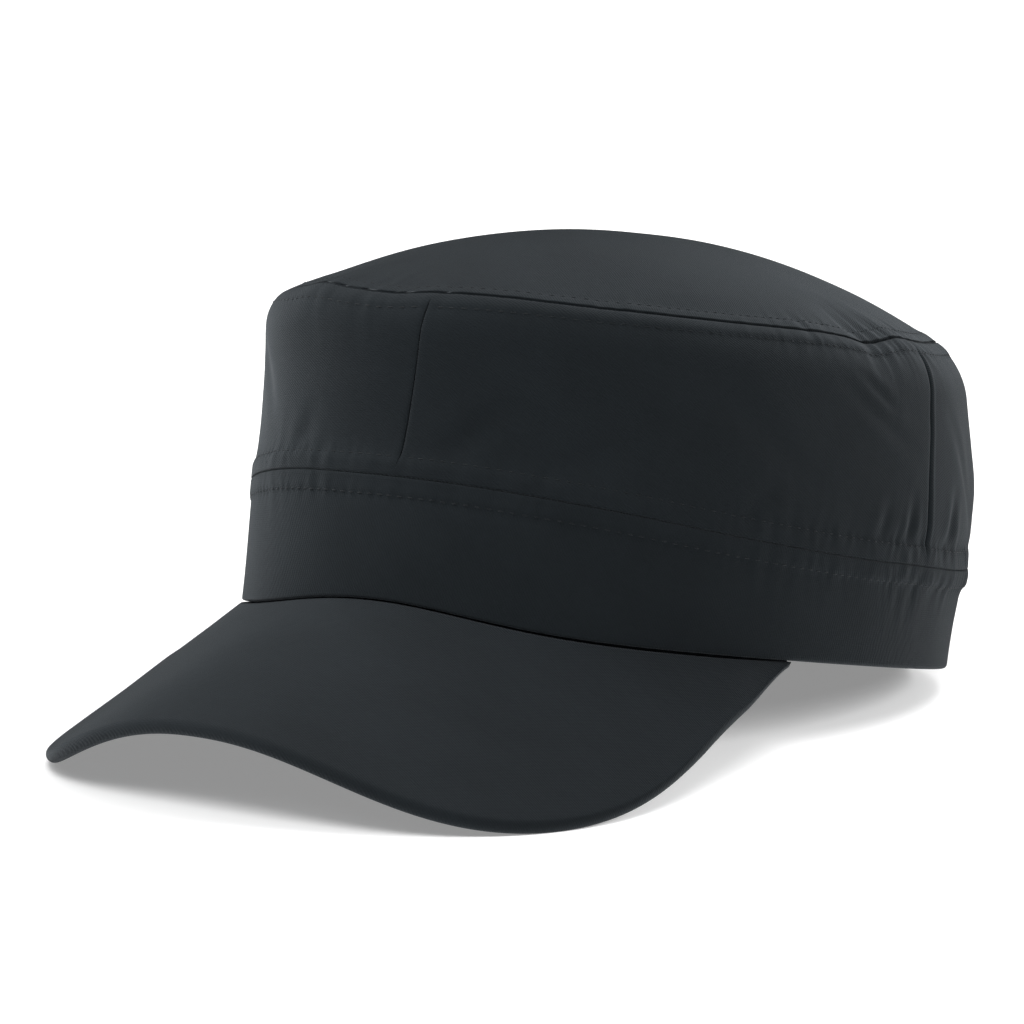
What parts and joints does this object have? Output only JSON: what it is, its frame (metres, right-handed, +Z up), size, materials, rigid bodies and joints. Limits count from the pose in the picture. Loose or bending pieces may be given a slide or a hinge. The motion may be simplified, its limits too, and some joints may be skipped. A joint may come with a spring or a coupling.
{
  "type": "patrol cap",
  "caption": "Black cotton twill patrol cap with a low domed oval top, an upright crown of side and back panels, a wide band and a curved stiff peak.",
  "frame": {"origin": "on the surface that the cap rests on, midway between the front of the peak and the back of the crown, and midway between its sides", "axes": "+Z up, -Y the way the peak points, +X towards the wearer's left; the cap leans back as it rests on the two corners of its peak and the back of its rim"},
  "size_m": [0.1587, 0.2654, 0.1156],
  "materials": {
    "crown_twill": "matt cotton twill, near black, with a faint diagonal weave and sewn seams",
    "band_twill": "matt cotton twill, near black, smooth over two layers",
    "peak_twill": "matt cotton twill stretched smooth over a stiff board, near black"
  },
  "bodies": {
    "root": {"top_panel": "crown_twill", "side_panel_left": "crown_twill", "side_panel_right": "crown_twill", "back_panel": "crown_twill", "headband": "band_twill", "peak": "peak_twill"}
  },
  "joints": []
}
